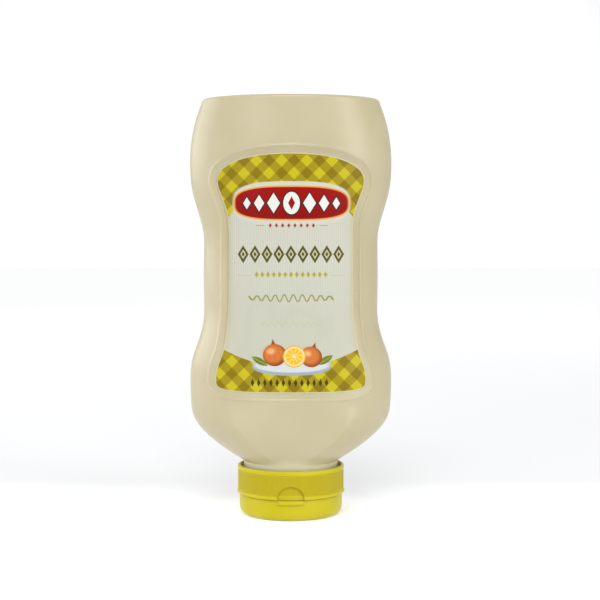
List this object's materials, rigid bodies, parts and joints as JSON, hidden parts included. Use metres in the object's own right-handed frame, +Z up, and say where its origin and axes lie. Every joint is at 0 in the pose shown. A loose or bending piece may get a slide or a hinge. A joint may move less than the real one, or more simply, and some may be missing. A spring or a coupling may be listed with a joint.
{
  "type": "mayonnaise squeeze bottle",
  "caption": "Flat oval squeeze bottle with a waist, an hourglass label panel front and back, standing upside down on its yellow flip-top cap.",
  "frame": {"origin": "middle of the lid's flat underside, on the surface the bottle stands on", "axes": "+Z up from the cap to the bottle's base, -Y towards the front label, X across the bottle's width"},
  "size_m": [0.078, 0.0438, 0.16],
  "materials": {
    "cream_plastic": "satin, slightly see-through squeezable plastic over pale cream contents",
    "label_film": "satin printed film, pale finely striped middle, yellow and olive diamond checks above and below, a red oval and rows of small plain shapes",
    "yellow_plastic": "satin moulded plastic, fine upright ribs on the skirt"
  },
  "bodies": {
    "root": {"bottle": "cream_plastic", "label_front": "label_film", "label_back": "label_film", "cap_skirt": "yellow_plastic", "flip_lid": "yellow_plastic"}
  },
  "joints": []
}
